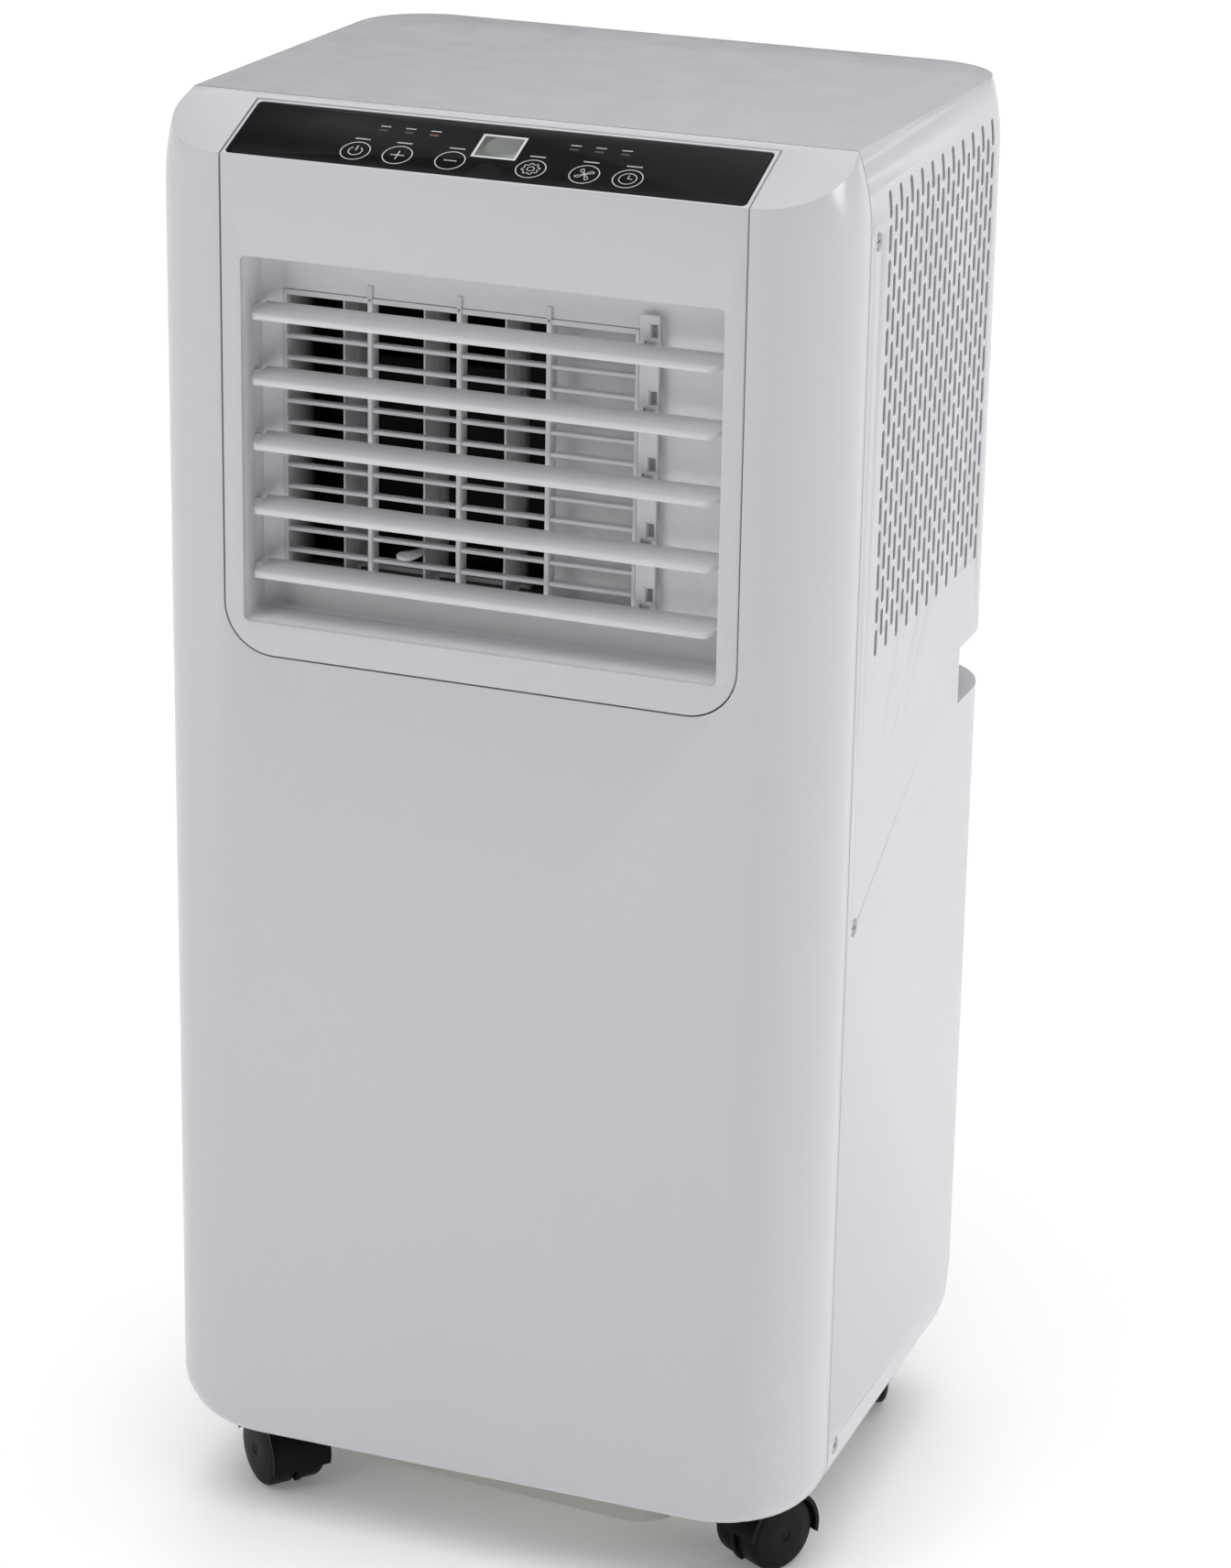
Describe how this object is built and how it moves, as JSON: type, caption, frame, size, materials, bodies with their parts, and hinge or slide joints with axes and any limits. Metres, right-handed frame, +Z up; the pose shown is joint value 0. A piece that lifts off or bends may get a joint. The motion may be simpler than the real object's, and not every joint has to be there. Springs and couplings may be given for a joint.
{
  "type": "portable air conditioner",
  "caption": "Tall floor-standing portable air conditioner on casters, with tilting outlet louvres, a touch control strip, slotted sides and a rear exhaust collar.",
  "frame": {"origin": "on the floor, at the centre of the bounding box", "axes": "+Z up, the outlet and control strip face -Y, +X is to the right seen from the front"},
  "size_m": [0.325, 0.278, 0.69],
  "materials": {
    "casing_white": "satin moulded plastic",
    "inner_white": "fine grained plastic and foam",
    "panel_black": "high gloss film",
    "display_grey": "clear window over a grey display",
    "pan_grey": "matt moulded plastic",
    "caster_black": "semi-gloss nylon",
    "board_green": "solder mask",
    "steel_zinc": "zinc plated sheet",
    "fin_aluminium": "bare fin stock",
    "tube_copper": null,
    "black_paint": "semi-gloss black enamel",
    "fan_black": "moulded fan plastic",
    "filter_grey": "open nylon net"
  },
  "bodies": {
    "cabinet": {"accumulator": "black_paint", "base_pan": "pan_grey", "capillary_tube": "tube_copper", "compressor": "black_paint", "condenser_coil": "fin_aluminium", "control_board": "board_green", "control_box": "steel_zinc", "control_overlay": "panel_black", "cord_gland": "caster_black", "deck_plate": "steel_zinc", "discharge_pipe": "tube_copper", "display_window": "display_grey", "evaporator_coil": "fin_aluminium", "exhaust_collar": "casing_white", "exhaust_duct": "inner_white", "fan_capacitor": "fin_aluminium", "front_shell": "casing_white", "lower_motor": "steel_zinc", "lower_scroll": "inner_white", "outlet_duct": "inner_white", "outlet_grille": "casing_white", "outlet_panel": "casing_white", "rear_shell": "casing_white", "side_screw_left_1": "steel_zinc", "side_screw_left_2": "steel_zinc", "side_screw_left_3": "steel_zinc", "side_screw_right_1": "steel_zinc", "side_screw_right_2": "steel_zinc", "side_screw_right_3": "steel_zinc", "suction_pipe": "tube_copper", "upper_motor": "steel_zinc", "upper_scroll": "inner_white"},
    "louvre_1": {"louvre_1": "casing_white"},
    "louvre_2": {"louvre_2": "casing_white"},
    "louvre_3": {"louvre_3": "casing_white"},
    "louvre_4": {"louvre_4": "casing_white"},
    "louvre_5": {"louvre_5": "casing_white"},
    "louvre_link": {"louvre_link": "casing_white"},
    "vane_1": {"vane_1": "casing_white"},
    "vane_2": {"vane_2": "casing_white"},
    "vane_3": {"vane_3": "casing_white"},
    "vane_link": {"vane_link": "casing_white"},
    "upper_fan": {"upper_blower": "fan_black"},
    "lower_fan": {"lower_blower": "fan_black"},
    "caster_swivel_front_left": {"caster_hood_front_left": "caster_black"},
    "caster_roll_front_left": {"caster_wheels_front_left": "caster_black"},
    "caster_swivel_front_right": {"caster_hood_front_right": "caster_black"},
    "caster_roll_front_right": {"caster_wheels_front_right": "caster_black"},
    "caster_swivel_rear_left": {"caster_hood_rear_left": "caster_black"},
    "caster_roll_rear_left": {"caster_wheels_rear_left": "caster_black"},
    "caster_swivel_rear_right": {"caster_hood_rear_right": "caster_black"},
    "caster_roll_rear_right": {"caster_wheels_rear_right": "caster_black"},
    "upper_filter": {"upper_filter_frame": "casing_white", "upper_filter_mesh": "filter_grey"},
    "lower_filter": {"lower_filter_frame": "casing_white", "lower_filter_mesh": "filter_grey"},
    "drain_plug_upper": {"drain_plug_upper": "casing_white"},
    "drain_plug_lower": {"drain_plug_lower": "casing_white"}
  },
  "joints": [
    {"name": "louvre_1_tilt", "type": "hinge", "parent": "cabinet", "child": "louvre_1", "pos_m": [0, -0.124, 0.5997], "axis": [1, 0, 0], "range_deg": [-30, 30]},
    {"name": "louvre_2_tilt", "type": "hinge", "parent": "cabinet", "child": "louvre_2", "pos_m": [0, -0.124, 0.5697], "axis": [1, 0, 0], "range_deg": [-30, 30]},
    {"name": "louvre_3_tilt", "type": "hinge", "parent": "cabinet", "child": "louvre_3", "pos_m": [0, -0.124, 0.5397], "axis": [1, 0, 0], "range_deg": [-30, 30]},
    {"name": "louvre_4_tilt", "type": "hinge", "parent": "cabinet", "child": "louvre_4", "pos_m": [0, -0.124, 0.5097], "axis": [1, 0, 0], "range_deg": [-30, 30]},
    {"name": "louvre_5_tilt", "type": "hinge", "parent": "cabinet", "child": "louvre_5", "pos_m": [0, -0.124, 0.4797], "axis": [1, 0, 0], "range_deg": [-30, 30]},
    {"name": "louvre_link_pivot", "type": "hinge", "parent": "louvre_3", "child": "louvre_link", "pos_m": [0.07, -0.1128, 0.5397], "axis": [1, 0, 0], "range_deg": [-30, 30]},
    {"name": "vane_1_swing", "type": "hinge", "parent": "cabinet", "child": "vane_1", "pos_m": [-0.08, -0.087, 0.538], "axis": [0, 0, 1], "range_deg": [-30, 30]},
    {"name": "vane_2_swing", "type": "hinge", "parent": "cabinet", "child": "vane_2", "pos_m": [-0.041, -0.087, 0.538], "axis": [0, 0, 1], "range_deg": [-30, 30]},
    {"name": "vane_3_swing", "type": "hinge", "parent": "cabinet", "child": "vane_3", "pos_m": [-0.002, -0.087, 0.538], "axis": [0, 0, 1], "range_deg": [-30, 30]},
    {"name": "vane_link_pivot", "type": "hinge", "parent": "vane_2", "child": "vane_link", "pos_m": [-0.041, -0.077, 0.471], "axis": [0, 0, 1], "range_deg": [-30, 30]},
    {"name": "upper_fan_spin", "type": "hinge", "parent": "cabinet", "child": "upper_fan", "pos_m": [0.01, 0.009, 0.48], "axis": [0, 1, 0], "continuous": true},
    {"name": "lower_fan_spin", "type": "hinge", "parent": "cabinet", "child": "lower_fan", "pos_m": [0.045, 0.009, 0.15], "axis": [0, 1, 0], "continuous": true},
    {"name": "caster_front_left_swivel", "type": "hinge", "parent": "cabinet", "child": "caster_swivel_front_left", "pos_m": [-0.1235, -0.0915, 0.0435], "axis": [0, 0, 1], "continuous": true},
    {"name": "caster_front_left_roll", "type": "hinge", "parent": "caster_swivel_front_left", "child": "caster_roll_front_left", "pos_m": [-0.11584, -0.09793, 0.019], "axis": [0.6428, 0.766, 0], "continuous": true},
    {"name": "caster_front_right_swivel", "type": "hinge", "parent": "cabinet", "child": "caster_swivel_front_right", "pos_m": [0.1235, -0.0915, 0.0435], "axis": [0, 0, 1], "continuous": true},
    {"name": "caster_front_right_roll", "type": "hinge", "parent": "caster_swivel_front_right", "child": "caster_roll_front_right", "pos_m": [0.12835, -0.08275, 0.019], "axis": [-0.8746, 0.4848, 0], "continuous": true},
    {"name": "caster_rear_left_swivel", "type": "hinge", "parent": "cabinet", "child": "caster_swivel_rear_left", "pos_m": [-0.1235, 0.078, 0.0435], "axis": [0, 0, 1], "continuous": true},
    {"name": "caster_rear_left_roll", "type": "hinge", "parent": "caster_swivel_rear_left", "child": "caster_roll_rear_left", "pos_m": [-0.12008, 0.0874, 0.019], "axis": [-0.9397, 0.342, 0], "continuous": true},
    {"name": "caster_rear_right_swivel", "type": "hinge", "parent": "cabinet", "child": "caster_swivel_rear_right", "pos_m": [0.1235, 0.078, 0.0435], "axis": [0, 0, 1], "continuous": true},
    {"name": "caster_rear_right_roll", "type": "hinge", "parent": "caster_swivel_rear_right", "child": "caster_roll_rear_right", "pos_m": [0.11927, 0.08706, 0.019], "axis": [-0.9063, -0.4226, 0], "continuous": true},
    {"name": "upper_filter_pull", "type": "slide", "parent": "cabinet", "child": "upper_filter", "axis": [0, 1, 0], "range_m": [0, 0.06]},
    {"name": "lower_filter_pull", "type": "slide", "parent": "cabinet", "child": "lower_filter", "axis": [0, 1, 0], "range_m": [0, 0.06]},
    {"name": "drain_plug_upper_pull", "type": "slide", "parent": "cabinet", "child": "drain_plug_upper", "axis": [0, 1, 0], "range_m": [0, 0.03]},
    {"name": "drain_plug_lower_pull", "type": "slide", "parent": "cabinet", "child": "drain_plug_lower", "axis": [0, 1, 0], "range_m": [0, 0.03]}
  ],
  "couplings": [
    {"joint": "louvre_1_tilt", "follows": "louvre_3_tilt", "ratio": 1},
    {"joint": "louvre_2_tilt", "follows": "louvre_3_tilt", "ratio": 1},
    {"joint": "louvre_4_tilt", "follows": "louvre_3_tilt", "ratio": 1},
    {"joint": "louvre_5_tilt", "follows": "louvre_3_tilt", "ratio": 1},
    {"joint": "louvre_link_pivot", "follows": "louvre_3_tilt", "ratio": -1},
    {"joint": "vane_1_swing", "follows": "vane_2_swing", "ratio": 1},
    {"joint": "vane_3_swing", "follows": "vane_2_swing", "ratio": 1},
    {"joint": "vane_link_pivot", "follows": "vane_2_swing", "ratio": -1}
  ]
}
